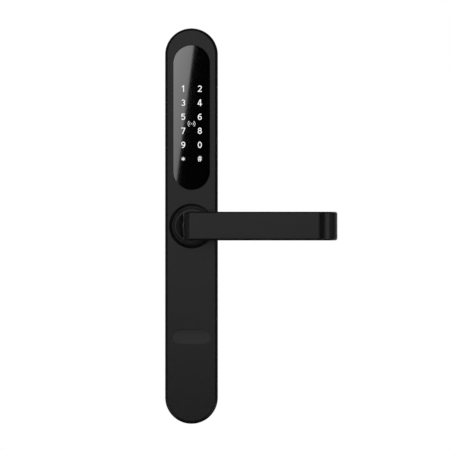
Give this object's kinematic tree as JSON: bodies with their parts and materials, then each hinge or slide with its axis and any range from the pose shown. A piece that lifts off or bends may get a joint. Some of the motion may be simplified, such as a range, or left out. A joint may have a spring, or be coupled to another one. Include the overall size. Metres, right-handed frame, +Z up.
{
  "type": "keypad smart lock",
  "caption": "Narrow door lock plate with a glass touch keypad, a lever handle that drives a spindle through a clutch, and an emergency key cylinder behind a shutter.",
  "frame": {"origin": "where the lever's axis crosses the door's outer face, at the middle of the back plate's rear face", "axes": "+Z up along the plate, +X the way the lever points, +Y into the door along the lever's axis"},
  "size_m": [0.1303, 0.109, 0.3],
  "materials": {
    "black_coat": "fine satin black powder coat",
    "black_glass": "polished tempered glass, black printed on its back",
    "legend": "white key legends, lit from behind",
    "rubber": "matte black rubber",
    "polymer": "dark moulded plastic",
    "nylon": "natural nylon",
    "circuit": "green solder mask",
    "steel": "zinc-plated steel",
    "brass": "machined brass",
    "copper": "etched copper"
  },
  "bodies": {
    "case": {"front_case": "black_coat", "rosette": "black_coat", "touch_glass": "black_glass", "rear_gasket": "rubber", "cable_grommet": "rubber", "glass_tape": "rubber", "buzzer": "polymer", "clutch_solenoid": "polymer", "board_link": "polymer", "hub_bush": "nylon", "cable_socket": "nylon", "touch_board": "circuit", "main_board": "circuit", "port_board": "circuit", "back_plate": "steel", "mounting_post_upper": "steel", "mounting_post_lower": "steel", "power_port": "steel", "spring_cassette": "steel", "return_spring": "steel", "shutter_guide": "steel", "case_screw_1": "steel", "case_screw_2": "steel", "case_screw_3": "steel", "case_screw_4": "steel", "case_screw_5": "steel", "case_screw_6": "steel", "board_screw_1": "steel", "board_screw_2": "steel", "board_screw_3": "steel", "board_screw_4": "steel", "cassette_screw_1": "steel", "cassette_screw_2": "steel", "cylinder_screw_1": "steel", "cylinder_screw_2": "steel", "key_cylinder": "brass", "card_antenna": "copper"},
    "lever": {"lever_handle": "black_coat", "handle_collar": "black_coat", "lever_shank": "steel", "grub_screw": "steel", "retaining_ring": "steel", "stop_cam": "steel"},
    "clutch": {"clutch_ring": "steel"},
    "drive": {"clutch_follower": "steel", "spindle": "steel"},
    "shifter": {"solenoid_plunger": "steel", "shift_fork": "steel"},
    "shutter": {"keyhole_shutter": "black_coat"},
    "key_plug": {"cylinder_plug": "brass", "plug_clip": "steel", "tail_bar": "steel"}
  },
  "joints": [
    {"name": "lever_turn", "type": "hinge", "parent": "case", "child": "lever", "pos_m": [0, 0, 0], "axis": [0, 1, 0], "range_deg": [0, 50], "stiffness_Nm_per_rad": 0.7, "springref_deg": -34.38, "deforming": ["return_spring"]},
    {"name": "drive_turn", "type": "hinge", "parent": "case", "child": "drive", "pos_m": [0, 0, 0], "axis": [0, 1, 0], "range_deg": [0, 50]},
    {"name": "shifter_slide", "type": "slide", "parent": "case", "child": "shifter", "axis": [0, 1, 0], "range_m": [-0.0016, 0]},
    {"name": "clutch_slide", "type": "slide", "parent": "lever", "child": "clutch", "axis": [0, 1, 0], "range_m": [-0.0016, 0]},
    {"name": "shutter_slide", "type": "slide", "parent": "case", "child": "shutter", "axis": [0, 0, 1], "range_m": [0, 0.0126]},
    {"name": "key_turn", "type": "hinge", "parent": "case", "child": "key_plug", "pos_m": [0, 0, -0.085], "axis": [0, 1, 0], "range_deg": [-90, 90]}
  ],
  "couplings": [
    {"joint": "drive_turn", "follows": "lever_turn", "ratio": 1},
    {"joint": "clutch_slide", "follows": "shifter_slide", "ratio": 1}
  ]
}
